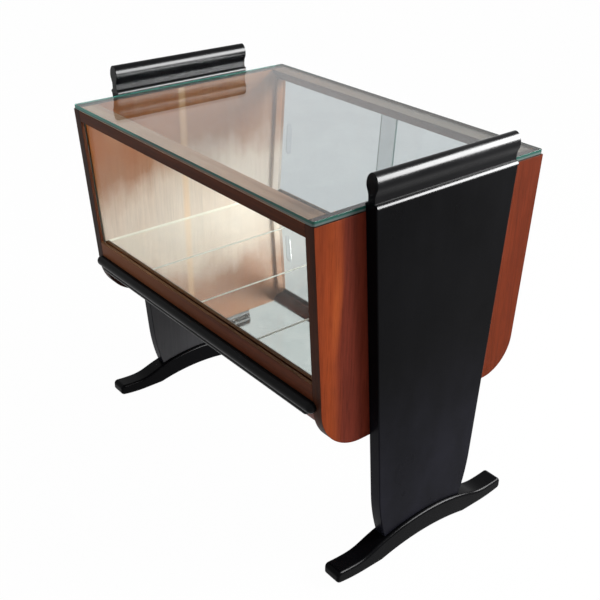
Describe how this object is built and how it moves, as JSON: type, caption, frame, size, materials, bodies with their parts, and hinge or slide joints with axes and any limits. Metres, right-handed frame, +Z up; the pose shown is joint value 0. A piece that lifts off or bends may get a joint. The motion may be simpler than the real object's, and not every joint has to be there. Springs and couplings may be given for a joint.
{
  "type": "glazed display case",
  "caption": "Glazed display case with a leaning front, mirrored floor and sliding glass back, hung between two black lacquered end standards with roll handles and arched feet.",
  "frame": {"origin": "centre of the footprint at ground level", "axes": "+X along the width to the right seen from the glass front, +Y from the glass front to the sliding back, +Z up"},
  "size_m": [0.739, 0.476, 0.702],
  "materials": {
    "veneer": "red-brown straight-grained veneer, polished",
    "dark_frame": "dark brown stained wood, satin",
    "plain_wood": "unfinished pale wood",
    "black_lacquer": "black lacquer, glossy on the rounded pieces and satin on the flat ones",
    "pane_glass": "clear sheet glass",
    "plate_glass": "clear plate glass with a blue-green edge",
    "mirror_tile": "silvered glass with bevelled edges",
    "screw_steel": "plain steel"
  },
  "bodies": {
    "case": {"left_end_panel": "veneer", "right_end_panel": "veneer", "front_top_rail": "dark_frame", "back_top_rail": "dark_frame", "front_bottom_rail": "dark_frame", "back_bottom_rail": "dark_frame", "bottom_shell": "veneer", "left_former": "plain_wood", "middle_former": "plain_wood", "right_former": "plain_wood", "floor_board": "plain_wood", "floor_mirror_1": "mirror_tile", "floor_mirror_2": "mirror_tile", "floor_mirror_3": "mirror_tile", "floor_mirror_4": "mirror_tile", "front_glass": "pane_glass", "top_glass": "plate_glass", "front_moulding": "black_lacquer", "left_back_bead": "dark_frame", "right_back_bead": "dark_frame", "left_standard": "black_lacquer", "right_standard": "black_lacquer", "left_handle": "black_lacquer", "right_handle": "black_lacquer", "left_foot": "black_lacquer", "right_foot": "black_lacquer", "rail_dowels": "plain_wood", "standard_dowels": "plain_wood", "handle_dowels": "plain_wood", "foot_dowels": "plain_wood", "standard_screws": "screw_steel"},
    "left_pane": {"back_pane_left": "pane_glass"},
    "right_pane": {"back_pane_right": "pane_glass"}
  },
  "joints": [
    {"name": "left_pane_slide", "type": "slide", "parent": "case", "child": "left_pane", "axis": [1, 0, 0], "range_m": [0, 0.295]},
    {"name": "right_pane_slide", "type": "slide", "parent": "case", "child": "right_pane", "axis": [-1, 0, 0], "range_m": [0, 0.295]}
  ]
}
